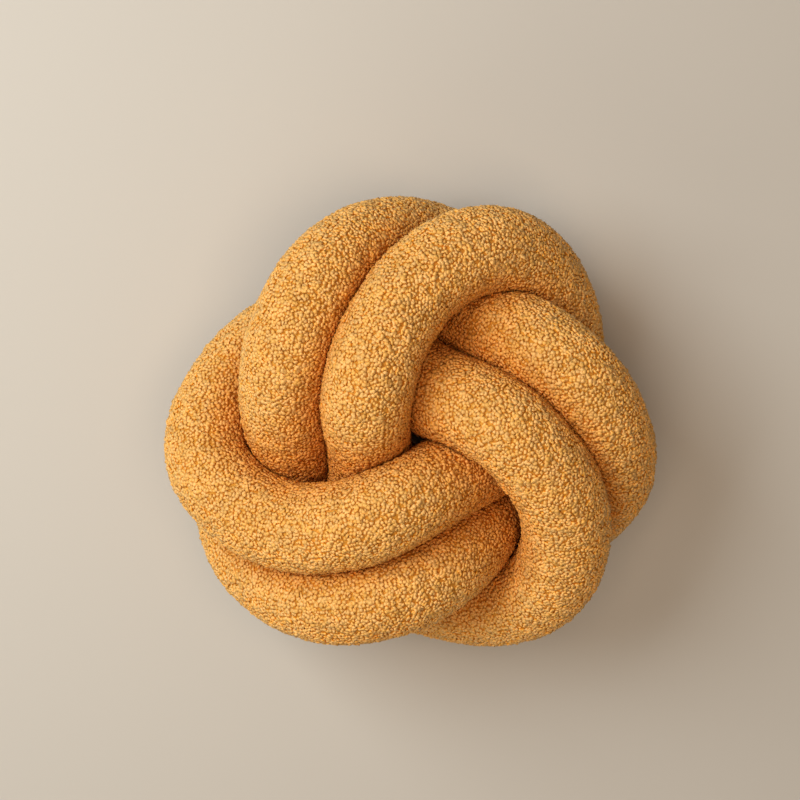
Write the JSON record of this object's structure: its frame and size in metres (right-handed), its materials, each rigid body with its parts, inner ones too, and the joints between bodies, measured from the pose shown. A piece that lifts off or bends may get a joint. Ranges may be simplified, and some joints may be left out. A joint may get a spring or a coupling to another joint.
{
  "type": "knot cushion",
  "caption": "Round knot cushion: stuffed fleece tubes running side by side, folded over and under each other in a three-lobed knot round a small eye.",
  "frame": {"origin": "on the surface that the cushion lies on, under the middle of its box", "axes": "+Z out of the cushion's face, +Y up the face and +X to its right, as the picture shows it"},
  "size_m": [0.333, 0.3137, 0.1805],
  "materials": {
    "fleece": "ochre teddy fleece with short dense curls"
  },
  "bodies": {
    "root": {"inner_tube": "fleece", "outer_tube": "fleece"}
  },
  "joints": []
}
